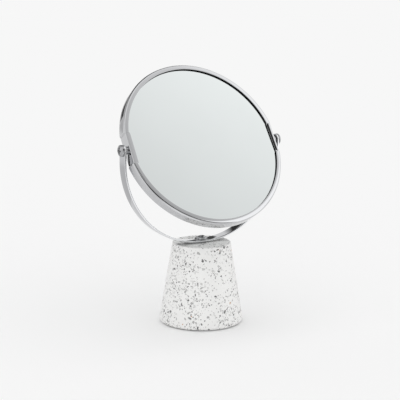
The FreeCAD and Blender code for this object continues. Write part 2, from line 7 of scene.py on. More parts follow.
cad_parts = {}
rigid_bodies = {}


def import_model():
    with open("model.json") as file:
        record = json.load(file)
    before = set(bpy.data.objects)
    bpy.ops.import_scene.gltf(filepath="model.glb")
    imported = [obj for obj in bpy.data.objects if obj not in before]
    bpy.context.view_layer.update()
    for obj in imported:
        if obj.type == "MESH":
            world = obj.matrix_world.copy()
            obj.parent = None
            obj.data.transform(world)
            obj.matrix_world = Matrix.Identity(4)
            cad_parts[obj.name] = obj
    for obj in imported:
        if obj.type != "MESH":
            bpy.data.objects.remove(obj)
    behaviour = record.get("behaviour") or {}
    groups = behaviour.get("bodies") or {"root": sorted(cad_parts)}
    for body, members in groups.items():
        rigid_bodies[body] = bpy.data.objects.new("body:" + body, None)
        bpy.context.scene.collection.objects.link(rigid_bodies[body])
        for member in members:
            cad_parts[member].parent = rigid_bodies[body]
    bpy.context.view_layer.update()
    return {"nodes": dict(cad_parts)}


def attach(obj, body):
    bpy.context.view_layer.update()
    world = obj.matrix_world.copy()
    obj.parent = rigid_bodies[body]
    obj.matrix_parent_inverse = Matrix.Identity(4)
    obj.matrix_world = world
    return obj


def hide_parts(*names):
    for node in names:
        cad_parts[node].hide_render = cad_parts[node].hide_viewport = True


# A round two-sided table mirror: chrome rim and yoke on a terrazzo cone. Metres, in the row frame.
# Lengths of the pieces are written in millimetres and turned into metres by MM.

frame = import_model()
NODES = frame["nodes"]
MM = 0.001

PIVOT = Vector((0, 0, 185.0 * MM))
LEAN = math.radians(33)
ACROSS = Vector((1, 0, 0))
RISE = Vector((0, math.sin(LEAN), math.cos(LEAN)))
OUT = Vector((0, -math.cos(LEAN), math.sin(LEAN)))

SAME_POINT = 1e-6
ON_AXIS = 1e-9


# ---------------------------------------------------------------- mesh tools

def new_mesh(name, points, faces):
    mesh = bpy.data.meshes.new(name)
    mesh.from_pydata([tuple(p) for p in points], [], faces)
    return mesh


def new_object(name, data):
    """An object that holds data, linked to the scene."""
    made = bpy.data.objects.new(name, data)
    bpy.context.scene.collection.objects.link(made)
    return made


def face_outward(mesh, merge=0.0):
    """Turn all faces outward, once the points nearer to each other than merge are joined."""
    work = bmesh.new()
    work.from_mesh(mesh)
    if merge:
        bmesh.ops.remove_doubles(work, verts=work.verts, dist=merge)
    bmesh.ops.recalc_face_normals(work, faces=work.faces)
    work.to_mesh(mesh)
    work.free()


def shade_smooth(mesh, sharp):
    """Smooth shading, split where faces meet at more than sharp degrees."""
    mesh.polygons.foreach_set("use_smooth", [True] * len(mesh.polygons))
    mesh.set_sharp_from_angle(angle=math.radians(sharp))


def add_piece(name, points, faces, material, body, replaced, sharp):
    """A mesh piece that rides on body and stands in for the replaced nodes."""
    mesh = new_mesh(name, points, faces)
    mesh.validate()
    face_outward(mesh, SAME_POINT)
    shade_smooth(mesh, sharp)
    mesh.materials.append(material)
    piece = new_object(name, mesh)
    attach(piece, body)
    for node in replaced:
        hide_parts(node)
    return piece


def grid_faces(rows, columns, wrap_rows=False, wrap_columns=False):
    """Quads between rows of points that were listed one row after another."""
    faces = []
    for i in range(rows if wrap_rows else rows - 1):
        for j in range(columns if wrap_columns else columns - 1):
            low, high = i * columns, (i + 1) % rows * columns
            after = (j + 1) % columns
            faces.append((low + j, low + after, high + after, high + j))
    return faces


def arc_points(centre, radius, start, end, steps):
    """Points on an arc, from start to end degrees, both included."""
    turns = [math.radians(start + (end - start) * k / steps) for k in range(steps + 1)]
    return [(centre[0] + radius * math.cos(t), centre[1] + radius * math.sin(t)) for t in turns]


def lathe(profile, place, segments):
    """Points and faces of a (radius, height) profile turned about an axis. place puts each point."""
    points, faces = [], []
    rows = []
    for radius, height in profile:
        if radius < ON_AXIS:
            points.append(place(0, 0, height))
            rows.append([len(points) - 1] * segments)
        else:
            row = []
            for k in range(segments):
                turn = 2 * math.pi * k / segments
                points.append(place(radius * math.cos(turn), radius * math.sin(turn), height))
                row.append(len(points) - 1)
            rows.append(row)
    for low, high in zip(rows, rows[1:]):
        for k in range(segments):
            after = (k + 1) % segments
            corners = []
            for corner in (low[k], low[after], high[after], high[k]):
                if corner not in corners:
                    corners.append(corner)
            if len(corners) > 2:
                faces.append(tuple(corners))
    return points, faces


def on_table(x, y, z):
    """A place measured in millimetres from the middle of the footprint."""
    return Vector((x, y, z)) * MM


def in_head(x, y, d):
    """A place in the head: x along the pivots, y up the plain glass, d out of it, in millimetres."""
    return PIVOT + (ACROSS * x + RISE * y + OUT * d) * MM


# ---------------------------------------------------------------- materials

class Graph:
    """A short way to write a node graph."""

    def __init__(self, tree):
        self.tree = tree

    def add(self, kind, settings=None, **inputs):
        """A node. settings are its properties, and inputs are numbers, colours or sockets by name."""
        node = self.tree.nodes.new(kind)
        for name, value in (settings or {}).items():
            setattr(node, name, value)
        for name, value in inputs.items():
            self.feed(node.inputs[name.replace("_", " ")], value)
        return node

    def feed(self, socket, value):
        """Link value to the socket if it is a socket, or set it."""
        if isinstance(value, bpy.types.NodeSocket):
            self.tree.links.new(value, socket)
        else:
            socket.default_value = value

    def math(self, operation, *values):
        """The result of a math node."""
        node = self.tree.nodes.new("ShaderNodeMath")
        node.operation = operation
        for index, value in enumerate(values):
            self.feed(node.inputs[index], value)
        return node.outputs[0]

    def ramp(self, value, low, high, to_low=0.0, to_high=1.0):
        """value mapped from low..high to to_low..to_high with soft ends."""
        node = self.add("ShaderNodeMapRange", {"interpolation_type": "SMOOTHSTEP"})
        for index, given in enumerate((value, low, high, to_low, to_high)):
            self.feed(node.inputs[index], given)
        return node.outputs[0]

    def blend(self, amount, first, second):
        """first and second colours mixed by amount."""
        node = self.add("ShaderNodeMix", {"data_type": "RGBA"})
        self.feed(node.inputs["Factor"], amount)
        self.feed(node.inputs["A"], first)
        self.feed(node.inputs["B"], second)
        return next(s for s in node.outputs if s.name == "Result" and s.type == "RGBA")

    def noise(self, where, scale, detail, roughness):
        """Grey cloud noise."""
        node = self.add("ShaderNodeTexNoise", Vector=where, Scale=scale, Detail=detail,
                        Roughness=roughness)
        return node.outputs["Fac"]


def new_group(name, inputs, outputs):
    """An empty shader group with named sockets: (name, type, value) in, (name, type) out."""
    tree = bpy.data.node_groups.new(name, "ShaderNodeTree")
    for socket, kind, value in inputs:
        made = tree.interface.new_socket(name=socket, in_out="INPUT", socket_type=kind)
        if value is not None:
            made.default_value = value
    for socket, kind in outputs:
        tree.interface.new_socket(name=socket, in_out="OUTPUT", socket_type=kind)
    return Graph(tree), tree.nodes.new("NodeGroupInput"), tree.nodes.new("NodeGroupOutput")


CHIP_BEND = 0.0016
CHIP_BEND_SCALE = 420.0
CHIP_EDGE = 0.035
CHIP_SIZES = ((640.0, 0.28, 0.17), (460.0, 0.26, 0.15), (320.0, 0.17, 0.14))
DARK_CHIPS_BELOW = 0.28
TAN_CHIPS_ABOVE = 0.992

FLOAT = "NodeSocketFloat"
VECTOR = "NodeSocketVector"


def make_handling_group():
    """Marks of use on a polished surface: a faint uneven gloss, and a broad cloud pattern as its
    height.
    """
    graph, given, out = new_group(
        "handling", [("Smear Size", FLOAT, 60.0), ("Smear Depth", FLOAT, 0.02), ("Gloss", FLOAT, 0.03)],
        [("Roughness", FLOAT), ("Height", FLOAT)])
    where = graph.add("ShaderNodeTexCoord").outputs["Object"]
    broad = graph.noise(where, given.outputs["Smear Size"], 4.0, 0.55)
    fine = graph.noise(where, 900.0, 2.0, 0.5)
    uneven = graph.math("MULTIPLY", graph.ramp(broad, 0.45, 0.75), given.outputs["Smear Depth"])
    speck = graph.math("MULTIPLY", graph.ramp(fine, 0.62, 0.8), 0.01)
    total = graph.math("ADD", graph.math("ADD", given.outputs["Gloss"], uneven), speck)
    graph.feed(out.inputs["Roughness"], total)
    graph.feed(out.inputs["Height"], broad)
    return graph.tree


def make_chip_group():
    """One size of stone chips in cement: where they are, and what each of them is."""
    graph, given, out = new_group(
        "chips",
        [("Place", VECTOR, None), ("Size", FLOAT, 250.0), ("Share", FLOAT, 0.3), ("Gap", FLOAT, 0.1)],
        [("Mask", FLOAT), ("Pick", FLOAT), ("Tone", FLOAT)])
    bend = graph.add("ShaderNodeTexNoise", Vector=given.outputs["Place"], Scale=CHIP_BEND_SCALE,
                     Detail=2.0)
    shift = graph.add("ShaderNodeVectorMath", {"operation": "MULTIPLY_ADD"})
    graph.feed(shift.inputs[0], bend.outputs["Color"])
    shift.inputs[1].default_value = (CHIP_BEND, CHIP_BEND, CHIP_BEND)
    graph.feed(shift.inputs[2], given.outputs["Place"])
    cells = graph.add("ShaderNodeTexVoronoi", {"feature": "F1"}, Vector=shift.outputs[0],
                      Scale=given.outputs["Size"], Randomness=1.0)
    edges = graph.add("ShaderNodeTexVoronoi", {"feature": "DISTANCE_TO_EDGE"}, Vector=shift.outputs[0],
                      Scale=given.outputs["Size"], Randomness=1.0)
    split = graph.add("ShaderNodeSeparateColor", Color=cells.outputs["Color"])
    chosen = graph.math("LESS_THAN", split.outputs["Red"], given.outputs["Share"])
    past_gap = graph.math("SUBTRACT", edges.outputs["Distance"], given.outputs["Gap"])
    inside = graph.ramp(past_gap, 0.0, CHIP_EDGE)
    graph.feed(out.inputs["Mask"], graph.math("MULTIPLY", chosen, inside))
    graph.feed(out.inputs["Pick"], split.outputs["Green"])
    graph.feed(out.inputs["Tone"], split.outputs["Blue"])
    return graph.tree


HANDLING = make_handling_group()
CHIPS = make_chip_group()


def start_material(name):
    """A material with its Principled shader, and a graph to add to it."""
    material = bpy.data.materials.new(name)
    material.use_nodes = True
    graph = Graph(material.node_tree)
    return material, graph, material.node_tree.nodes["Principled BSDF"]


def use_group(graph, tree, **inputs):
    return graph.add("ShaderNodeGroup", {"node_tree": tree}, **inputs)


def bump(graph, height, strength, distance):
    node = graph.add("ShaderNodeBump", Strength=strength, Distance=distance, Height=height)
    return node.outputs["Normal"]


def polished_metal(name, colour, gloss=0.03, smear=0.03):
    """Plated metal with marks of handling in its gloss and tone."""
    material, graph, shader = start_material(name)
    marks = use_group(graph, HANDLING, Smear_Size=45.0, Smear_Depth=smear, Gloss=gloss)
    shader.inputs["Metallic"].default_value = 1.0
    tint = graph.blend(graph.ramp(marks.outputs["Height"], 0.3, 0.8),
                       (*colour, 1), (*[c * 0.965 for c in colour], 1))
    graph.feed(shader.inputs["Base Color"], tint)
    graph.feed(shader.inputs["Roughness"], marks.outputs["Roughness"])
    return material


def mirror_silver():
    """Silvering seen through clear glass, a little green, with a trace of dust in its gloss."""
    material, graph, shader = start_material("silvered_glass")
    where = graph.add("ShaderNodeTexCoord").outputs["Object"]
    film = graph.noise(where, 18.0, 4.0, 0.5)
    shader.inputs["Metallic"].default_value = 1.0
    tint = graph.blend(graph.ramp(film, 0.3, 0.8), (0.870, 0.908, 0.904, 1), (0.856, 0.894, 0.890, 1))
    graph.feed(shader.inputs["Base Color"], tint)
    graph.feed(shader.inputs["Roughness"], graph.ramp(film, 0.5, 0.9, 0.0, 0.012))
    return material


def terrazzo():
    """Ground white cement with grit and clustered chips. Each chip size is (scale, share, gap)."""
    material, graph, shader = start_material("terrazzo")
    where = graph.add("ShaderNodeTexCoord").outputs["Object"]
    cement = graph.noise(where, 35.0, 5.0, 0.6)
    grit = graph.noise(where, 1600.0, 2.0, 0.6)
    colour = graph.blend(cement, (0.83, 0.83, 0.82, 1), (0.885, 0.883, 0.872, 1))
    colour = graph.blend(graph.ramp(grit, 0.55, 0.8, 0.0, 0.4), colour, (0.66, 0.66, 0.65, 1))
    crowd = graph.noise(where, 55.0, 2.0, 0.5)
    relief = cement
    for size, share, gap in CHIP_SIZES:
        crowded = graph.ramp(crowd, 0.35, 0.65, share * 0.45, share * 1.35)
        chips = use_group(graph, CHIPS, Place=where, Size=size, Share=crowded, Gap=gap)
        pick, tone = chips.outputs["Pick"], chips.outputs["Tone"]
        stone = graph.blend(tone, (0.36, 0.36, 0.355, 1), (0.70, 0.70, 0.69, 1))
        dark = graph.math("LESS_THAN", pick, DARK_CHIPS_BELOW)
        stone = graph.blend(dark, stone, (0.12, 0.12, 0.123, 1))
        tan = graph.math("GREATER_THAN", pick, TAN_CHIPS_ABOVE)
        stone = graph.blend(tan, stone, (0.50, 0.27, 0.12, 1))
        colour = graph.blend(chips.outputs["Mask"], colour, stone)
        relief = graph.math("SUBTRACT", relief, graph.math("MULTIPLY", chips.outputs["Mask"], 0.25))
    graph.feed(shader.inputs["Base Color"], colour)
    graph.feed(shader.inputs["Roughness"], graph.ramp(grit, 0.2, 0.8, 0.38, 0.5))
    graph.feed(shader.inputs["Normal"], bump(graph, relief, 0.12, 0.0002))
    return material


def moulded(name, colour, roughness, grain_scale, grain, speck=0.12):
    """A dull even colour broken by grain, with a matching bump."""
    material, graph, shader = start_material(name)
    where = graph.add("ShaderNodeTexCoord").outputs["Object"]
    fine = graph.noise(where, grain_scale, 4.0, 0.6)
    darker = tuple(c * (1 - speck) for c in colour)
    graph.feed(shader.inputs["Base Color"], graph.blend(fine, (*colour, 1), (*darker, 1)))
    gloss = graph.ramp(fine, 0.2, 0.8, roughness - 0.08, roughness + 0.08)
    graph.feed(shader.inputs["Roughness"], gloss)
    graph.feed(shader.inputs["Normal"], bump(graph, fine, grain, 0.0003))
    return material


def brushed(name, colour, roughness):
    """Stamped or turned metal with fine scratches."""
    material, graph, shader = start_material(name)
    where = graph.add("ShaderNodeTexCoord").outputs["Object"]
    stretch = graph.add("ShaderNodeMapping", Vector=where)
    stretch.inputs["Scale"].default_value = (60.0, 2500.0, 2500.0)
    lines = graph.noise(stretch.outputs[0], 1.0, 3.0, 0.6)
    shader.inputs["Metallic"].default_value = 1.0
    darker = tuple(c * 0.8 for c in colour)
    graph.feed(shader.inputs["Base Color"], graph.blend(lines, (*colour, 1), (*darker, 1)))
    gloss = graph.ramp(lines, 0.2, 0.8, roughness - 0.06, roughness + 0.1)
    graph.feed(shader.inputs["Roughness"], gloss)
    graph.feed(shader.inputs["Normal"], bump(graph, lines, 0.15, 0.0001))
    return material


CHROME_COLOUR = (0.56, 0.565, 0.58)
RIM_CHROME = polished_metal("rim_chrome", (0.575, 0.58, 0.592))
YOKE_CHROME = polished_metal("yoke_chrome", CHROME_COLOUR)
# painted highlight: a brighter chrome colour for the yoke strip's edges
PAINTED_HIGHLIGHT_CHROME = polished_metal("chrome_painted_highlight", (0.80, 0.805, 0.82))
# painted shade: a darker chrome colour for the screws, the clamp washer and the pivot collars
PAINTED_SHADE_CHROME = polished_metal("chrome_painted_shade", (0.42, 0.424, 0.436), gloss=0.07, smear=0.05)
SILVERING = mirror_silver()
STONE = terrazzo()
DULL_STEEL = brushed("dull_steel", (0.42, 0.42, 0.42), 0.4)
BRASS = brushed("insert_brass", (0.75, 0.6, 0.32), 0.3)
# painted shade: near-black matt for the rim's lip cut edges and the inside of its channel
PAINTED_SHADE_CHANNEL = moulded("channel_painted_shade", (0.03, 0.03, 0.032), 0.8, 900.0, 0.3, 0.4)
NYLON = moulded("nylon", (0.035, 0.035, 0.037), 0.4, 700.0, 0.1)
FOAM = moulded("foam", (0.05, 0.05, 0.052), 0.9, 1500.0, 0.8, 0.5)
RING_PLASTIC = moulded("spacer_plastic", (0.06, 0.06, 0.06), 0.6, 500.0, 0.2, 0.3)


# ---------------------------------------------------------------- rim

RIM = 90.0
BEAD = 2.0
FRONT = 6.0
LIP = 84.6
LIP_EDGE = 0.1
LIP_EDGE_STEPS = 5
SHEET = 0.5
CROWN_START = 0.5
CROWN_END = 3.2
FLAT_HALF = 16.1
FLAT_WEB = 87.2
FLAT_BLEND = 0.7
FLAT_LIPS = {1: (82.2, 83.2), -1: (81.7, 81.7)}
FLAT_DISH = {1: 0.5, -1: 0.05}
FLAT_BEAD = 0.3
BEZEL_INSET = 0.02
DISH_FADE = 1.6
HOLLOW_GAP = 0.1
ROUND_GAP = 0.9
BEZEL_STEPS = 12
BEAD_STEPS = 14
HOLLOW_STEPS = 6
BLEND_STEPS = 6
FLAT_STEPS = 24
ROUND_STEPS = 180
RIM_SHARP = 50
BEZEL_DROP = (RIM - BEAD - LIP) * math.tan(math.radians((CROWN_START + CROWN_END) / 2))


def rim_profile():
    """The front half of the rolled section's outside, from under the lip to the web.

    Each entry is (anchor, offset, depth, dish). The offset is measured from the lip or from the web,
    or is a share of the way across the bezel. dish is how much of a flat's inward slope it takes.
    """
    top = FRONT - BEZEL_INSET
    points = [("lip", 0.0, top - SHEET, 1.0), ("lip", 0.0, top - LIP_EDGE, 1.0)]
    for x, d in arc_points((LIP_EDGE, top - LIP_EDGE), LIP_EDGE, 180, 90, LIP_EDGE_STEPS)[1:]:
        points.append(("lip", x, d, 1.0))
    end = math.radians(CROWN_END)
    start = math.radians(CROWN_START)
    width = RIM - BEAD * (1 - math.sin(end)) - LIP - LIP_EDGE
    drop = 0.0
    for k in range(1, BEZEL_STEPS + 1):
        t = k / BEZEL_STEPS
        slope = start + (end - start) * (t - 0.5 / BEZEL_STEPS)
        drop += math.tan(slope) * width / BEZEL_STEPS
        points.append(("mix", t, top - drop, max(0.0, 1.0 - DISH_FADE * t)))
    centre = top - drop - BEAD * math.cos(end)
    for x, d in arc_points((-BEAD, centre), BEAD, 90 - CROWN_END, 0, BEAD_STEPS)[1:]:
        points.append(("bead", x, d, 0.0))
    return points


def rim_section():
    """The whole closed section and the number of its outside points: outside first, then the inside."""
    front = rim_profile()
    outside = front + [(a, x, -d, f) for a, x, d, f in reversed(front)]
    hollow = BEAD - SHEET
    shoulder = FRONT - SHEET - HOLLOW_GAP - hollow
    inside = [("hollow", x - SHEET, d, 0.0) for x, d in
              arc_points((-hollow, -shoulder), hollow, -90, 0, HOLLOW_STEPS)
              + arc_points((-hollow, shoulder), hollow, 0, 90, HOLLOW_STEPS)]
    return outside + inside, len(outside)


def chord_lip(side, y):
    """Reach of the lip along a flat, at height y."""
    top, bottom = FLAT_LIPS[side]
    return bottom + (top - bottom) * (y + FLAT_HALF) / (2 * FLAT_HALF)


def section_place(entry, lip, web, tight):
    """Reach and depth of a section point. tight is the share of the bead's size that is left."""
    anchor, offset, depth, _ = entry
    if anchor == "lip":
        return lip + offset, depth
    if anchor == "hollow":
        return web + offset, depth
    if anchor == "bead":
        shoulder = FRONT - BEZEL_DROP
        return web + offset * tight, math.copysign(shoulder - (shoulder - abs(depth)) * tight, depth)
    inner = lip + LIP_EDGE
    outer = web - BEAD * tight * (1 - math.sin(math.radians(CROWN_END)))
    return inner + (outer - inner) * offset, depth


def rim_row(section, side, y=None, turn=None, press=0.0):
    """One row of section points: at height y beside or on a flat, or at a turn on the round part."""
    row = []
    for entry in section:
        round_reach, depth = section_place(entry, LIP, RIM, 1.0)
        if turn is not None:
            row.append(in_head(round_reach * math.cos(turn), round_reach * math.sin(turn), depth))
            continue
        reach = math.sqrt(round_reach ** 2 - y ** 2)
        flat_reach, flat_depth = section_place(entry, chord_lip(side, y), FLAT_WEB, FLAT_BEAD)
        reach += (flat_reach - reach) * press
        depth += (flat_depth - depth) * press
        sink = FLAT_DISH[side] * entry[3] * press
        depth -= math.copysign(sink, depth)
        row.append(in_head(side * reach, y, depth))
    return row


def make_rim():
    """Sheet rolled to a channel that opens inward, pressed to a straight flat at each pivot."""
    section, outside = rim_section()
    beside = FLAT_HALF + FLAT_BLEND
    rows = []
    for side in (1, -1):
        heights = [(-beside, 0.0)]
        for k in range(1, BLEND_STEPS + 1):
            t = k / BLEND_STEPS
            heights.append((-beside + FLAT_BLEND * t, t * t * (3 - 2 * t)))
        heights += [(-FLAT_HALF + 2 * FLAT_HALF * k / FLAT_STEPS, 1.0) for k in range(1, FLAT_STEPS)]
        heights += [(-y, press) for y, press in reversed(heights[:BLEND_STEPS + 1])]
        if side < 0:
            heights.reverse()
        rows += [rim_row(section, side, y=y, press=press) for y, press in heights]
        start = math.asin((beside + ROUND_GAP) / RIM)
        for k in range(ROUND_STEPS + 1):
            turn = start + (math.pi - 2 * start) * k / ROUND_STEPS
            rows.append(rim_row(section, side, turn=turn if side > 0 else turn + math.pi))
    points = [point for row in rows for point in row]
    faces = grid_faces(len(rows), len(section), wrap_rows=True, wrap_columns=True)
    rim = add_piece("rim_rolled", points, faces, RIM_CHROME, "head", ["rim"], RIM_SHARP)
    # painted shade: the cut edges of the lips and the inside of the channel get a near-black matt
    # material, the rest is plated
    rim.data.materials.append(PAINTED_SHADE_CHANNEL)
    for index, face in enumerate(rim.data.polygons):
        place = index % len(section)
        face.material_index = int(place == 0 or place >= outside - 2)
    return rim


# ---------------------------------------------------------------- glasses

GLASS = 85.2
SILVER = 4.1
GLASS_BACK = 3.6
SAG = 3.4
GLASS_EDGE = 0.1
GLASS_SEGMENTS = 256
GLASS_RINGS = 48
GLASS_SHARP = 20


def make_plain_glass():
    """The plain glass. Its silvering is drawn where the eye sees it through the clear front."""
    profile = [(0, GLASS_BACK), (GLASS, GLASS_BACK), (GLASS, SILVER - GLASS_EDGE),
               (GLASS - GLASS_EDGE, SILVER), (GLASS / 2, SILVER), (0, SILVER)]
    points, faces = lathe(profile, in_head, GLASS_SEGMENTS)
    return add_piece("plain_mirror", points, faces, SILVERING, "head", ["front_glass"],
                     GLASS_SHARP)


def make_magnifying_glass():
    """The hollow glass of the back, of even thickness."""
    radii = [GLASS * k / GLASS_RINGS for k in range(GLASS_RINGS + 1)]

    def hollow(depth):
        return [(r, -(depth - SAG * (1 - (r / GLASS) ** 2))) for r in radii]

    points, faces = lathe(hollow(SILVER) + hollow(GLASS_BACK)[::-1], in_head, GLASS_SEGMENTS)
    return add_piece("magnifying_mirror", points, faces, SILVERING, "head", ["rear_glass"],
                     GLASS_SHARP)


# ---------------------------------------------------------------- yoke

YOKE_FOOT = 84.5
SEAT_HALF = 4.0
BEND = 88.8
ARM_STRAIGHT = 11.7
YOKE_WIDTH = 11.5
YOKE_GAUGE = 2.0
YOKE_EDGE = 0.65
YOKE_EDGE_STEPS = 5
YOKE_SEAT_STEPS = 3
YOKE_BEND_STEPS = 90
YOKE_ARM_STEPS = 6
YOKE_TIP_STEPS = 24
YOKE_TIP_HALF = 0.02
YOKE_EDGE_SHARE = 0.95
YOKE_SHARP = 40


def strip_section(half_width):
    """Rounded section of the strip: (across the width, up from its outer face)."""
    edge = min(YOKE_EDGE, half_width * YOKE_EDGE_SHARE)
    corners = ((half_width - edge, edge, -90), (half_width - edge, YOKE_GAUGE - edge, 0),
               (-half_width + edge, YOKE_GAUGE - edge, 90), (-half_width + edge, edge, 180))
    points = []
    for y, up, start in corners:
        points += arc_points((y, up), edge, start, start + 90, YOKE_EDGE_STEPS)
    return points


def along_yoke(s):
    """Place and inward direction on the outer face, s along it from the middle of the seat."""
    side = math.copysign(1, s)
    s = abs(s)
    quarter = BEND * math.pi / 2
    if s <= SEAT_HALF:
        return Vector((side * s, 0, YOKE_FOOT)), Vector((0, 0, 1))
    if s <= SEAT_HALF + quarter:
        turn = (s - SEAT_HALF) / BEND
        place = Vector((side * (SEAT_HALF + BEND * math.sin(turn)), 0,
                        YOKE_FOOT + BEND * (1 - math.cos(turn))))
        return place, Vector((-side * math.sin(turn), 0, math.cos(turn)))
    return (Vector((side * (SEAT_HALF + BEND), 0, YOKE_FOOT + BEND + s - SEAT_HALF - quarter)),
            Vector((-side, 0, 0)))


def make_yoke():
    """The chromed strip, flat on its seat, bent up to two straight arms with half-round ends."""
    half = YOKE_WIDTH / 2
    quarter = BEND * math.pi / 2
    pivot = SEAT_HALF + quarter + ARM_STRAIGHT
    stations = [SEAT_HALF * k / YOKE_SEAT_STEPS for k in range(YOKE_SEAT_STEPS + 1)]
    stations += [SEAT_HALF + quarter * k / YOKE_BEND_STEPS for k in range(1, YOKE_BEND_STEPS + 1)]
    stations += [SEAT_HALF + quarter + ARM_STRAIGHT * k / YOKE_ARM_STEPS
                 for k in range(1, YOKE_ARM_STEPS + 1)]
    stations += [pivot + half * math.sin(math.pi / 2 * k / YOKE_TIP_STEPS)
                 for k in range(1, YOKE_TIP_STEPS + 1)]
    stations = [-s for s in reversed(stations[1:])] + stations
    points = []
    for s in stations:
        beyond = max(0.0, abs(s) - pivot)
        width = max(math.sqrt(max(half ** 2 - beyond ** 2, 0.0)), YOKE_TIP_HALF)
        place, inward = along_yoke(s)
        for y, up in strip_section(width):
            points.append((place + inward * up + Vector((0, y, 0))) * MM)
    count = len(strip_section(half))
    faces = grid_faces(len(stations), count, wrap_columns=True)
    faces.append(tuple(range(count)))
    faces.append(tuple(reversed(range(len(points) - count, len(points)))))
    yoke = add_piece("yoke_strip", points, faces, YOKE_CHROME, "stand", ["yoke"],
                     YOKE_SHARP)
    # painted highlight: both edges of the strip get a brighter chrome colour, to just past the middle
    # of each rounding
    yoke.data.materials.append(PAINTED_HIGHLIGHT_CHROME)
    beside = YOKE_EDGE_STEPS // 2 + 1
    for index, face in enumerate(yoke.data.polygons[:-2]):
        from_edge = (index - YOKE_EDGE_STEPS) % (count // 2)
        face.material_index = int(min(from_edge, count // 2 - from_edge) <= beside)
    return yoke


# ---------------------------------------------------------------- screws

HEAD = 5.9
HEAD_SIDE = 0.9
HEAD_CORNER = 1.3
HEAD_CROWN = 1.1
RECESS_REACH = 3.3
RECESS_SLOT = 0.95
RECESS_DEPTH = 2.4
RECESS_FOOT = (0.55, 0.7)
RECESS_MOUTH = (1.15, 1.1)
RECESS_PROUD = 0.4
HEAD_FOOT_EDGE = 0.15
SHANK_CHAMFER = 0.4
CROSS_CORNERS = 12
HEAD_STEPS = 10
SCREW_SEGMENTS = 96
SCREW_SHARP = 35
CLAMP_SHANK = 2.5
CLAMP_TIP = 72.6
CLAMP_WASHER = 7.0
CLAMP_WASHER_GAP = 0.01
CLAMP_WASHER_THICKNESS = 0.8
PIVOT_SHANK = 2.0
PIVOT_HEAD_FOOT = 93.15
PIVOT_TIP = 83.55


def cross_cutter(place, top):
    """A tapered cross that stands in the head, wide at the top and narrow at its foot."""
    def ring(reach, slot, height):
        outline = ((reach, -slot), (reach, slot), (slot, slot), (slot, reach), (-slot, reach),
                   (-slot, slot), (-reach, slot), (-reach, -slot), (-slot, -slot), (-slot, -reach),
                   (slot, -reach), (slot, -slot))
        return [place(x, y, height) for x, y in outline]

    points = ring(RECESS_REACH * RECESS_FOOT[0], RECESS_SLOT * RECESS_FOOT[1], top - RECESS_DEPTH)
    points += ring(RECESS_REACH * RECESS_MOUTH[0], RECESS_SLOT * RECESS_MOUTH[1], top + RECESS_PROUD)
    faces = grid_faces(2, CROSS_CORNERS, wrap_columns=True)
    faces.append(tuple(reversed(range(CROSS_CORNERS))))
    faces.append(tuple(range(CROSS_CORNERS, 2 * CROSS_CORNERS)))
    return points, faces


def make_screw(name, node, place, body, shank, length):
    """A pan-head screw. place puts a point of the screw, whose head stands on height 0."""
    crown_reach = HEAD - HEAD_CORNER
    shoulder = HEAD_SIDE + HEAD_CORNER
    top = shoulder + HEAD_CROWN
    dome = (crown_reach ** 2 + HEAD_CROWN ** 2) / (2 * HEAD_CROWN)
    half_turn = math.degrees(math.asin(crown_reach / dome))
    profile = [(0, -length), (shank - SHANK_CHAMFER, -length), (shank, SHANK_CHAMFER - length),
               (shank, 0), (HEAD - HEAD_FOOT_EDGE, 0.0), (HEAD, HEAD_FOOT_EDGE)]
    profile += arc_points((crown_reach, HEAD_SIDE), HEAD_CORNER, 0, 90, HEAD_STEPS)
    profile += arc_points((0, top - dome), dome, 90 - half_turn, 90, HEAD_STEPS)[1:-1] + [(0, top)]
    points, faces = lathe(profile, place, SCREW_SEGMENTS)
    screw = add_piece(name, points, faces, PAINTED_SHADE_CHROME, body, [node], SCREW_SHARP)
    cutter_mesh = new_mesh(name + "_cutter", *cross_cutter(place, top))
    face_outward(cutter_mesh)
    cutter = new_object(name + "_cutter", cutter_mesh)
    cutter.parent = screw.parent
    cutter.matrix_world = screw.matrix_world
    cut = screw.modifiers.new("recess", "BOOLEAN")
    cut.operation = "DIFFERENCE"
    cut.solver = "EXACT"
    cut.object = cutter
    bpy.context.view_layer.update()
    result = bpy.data.meshes.new_from_object(screw.evaluated_get(bpy.context.evaluated_depsgraph_get()))
    screw.modifiers.remove(cut)
    bpy.data.objects.remove(cutter)
    screw.data = result
    shade_smooth(result, SCREW_SHARP)
    return screw


def make_screws():
    """The screw that clamps the yoke, and the two that the head turns on."""
    bend_rise = (CLAMP_WASHER - SEAT_HALF) ** 2 / (2 * (BEND - YOKE_GAUGE))
    foot = YOKE_FOOT + YOKE_GAUGE + bend_rise + CLAMP_WASHER_GAP + CLAMP_WASHER_THICKNESS

    def on_clamp(x, y, h):
        return on_table(x, y, foot + h)

    make_screw("clamp_screw", "yoke_screw", on_clamp, "stand", CLAMP_SHANK, foot - CLAMP_TIP)
    for side, name in ((-1, "left"), (1, "right")):
        def on_pivot(x, y, h, side=side):
            return PIVOT + Vector((side * (PIVOT_HEAD_FOOT + h), x, y)) * MM
        make_screw(f"tilt_screw_{name}", f"pivot_screw_{name}", on_pivot, "head", PIVOT_SHANK,
                   PIVOT_HEAD_FOOT - PIVOT_TIP)


# ---------------------------------------------------------------- base

BASE_TOP = (30.1, 83.9)
BASE_FOOT = (44.0, 0.8)
BASE_TOP_EDGE = 0.8
BASE_FOOT_EDGE = 2.6
PAD_RECESS = [(0, 2.2), (36.3, 2.2), (36.5, 2.0), (36.5, 1.0), (36.7, 0.8)]
INSERT_BORE = [(4.5, 83.9), (4.5, 69.6), (0, 69.6)]
FOOT_EDGE_STEPS = 12
TOP_EDGE_STEPS = 8
SIDE_STEPS = 8
BASE_SEGMENTS = 160
BASE_SHARP = 35


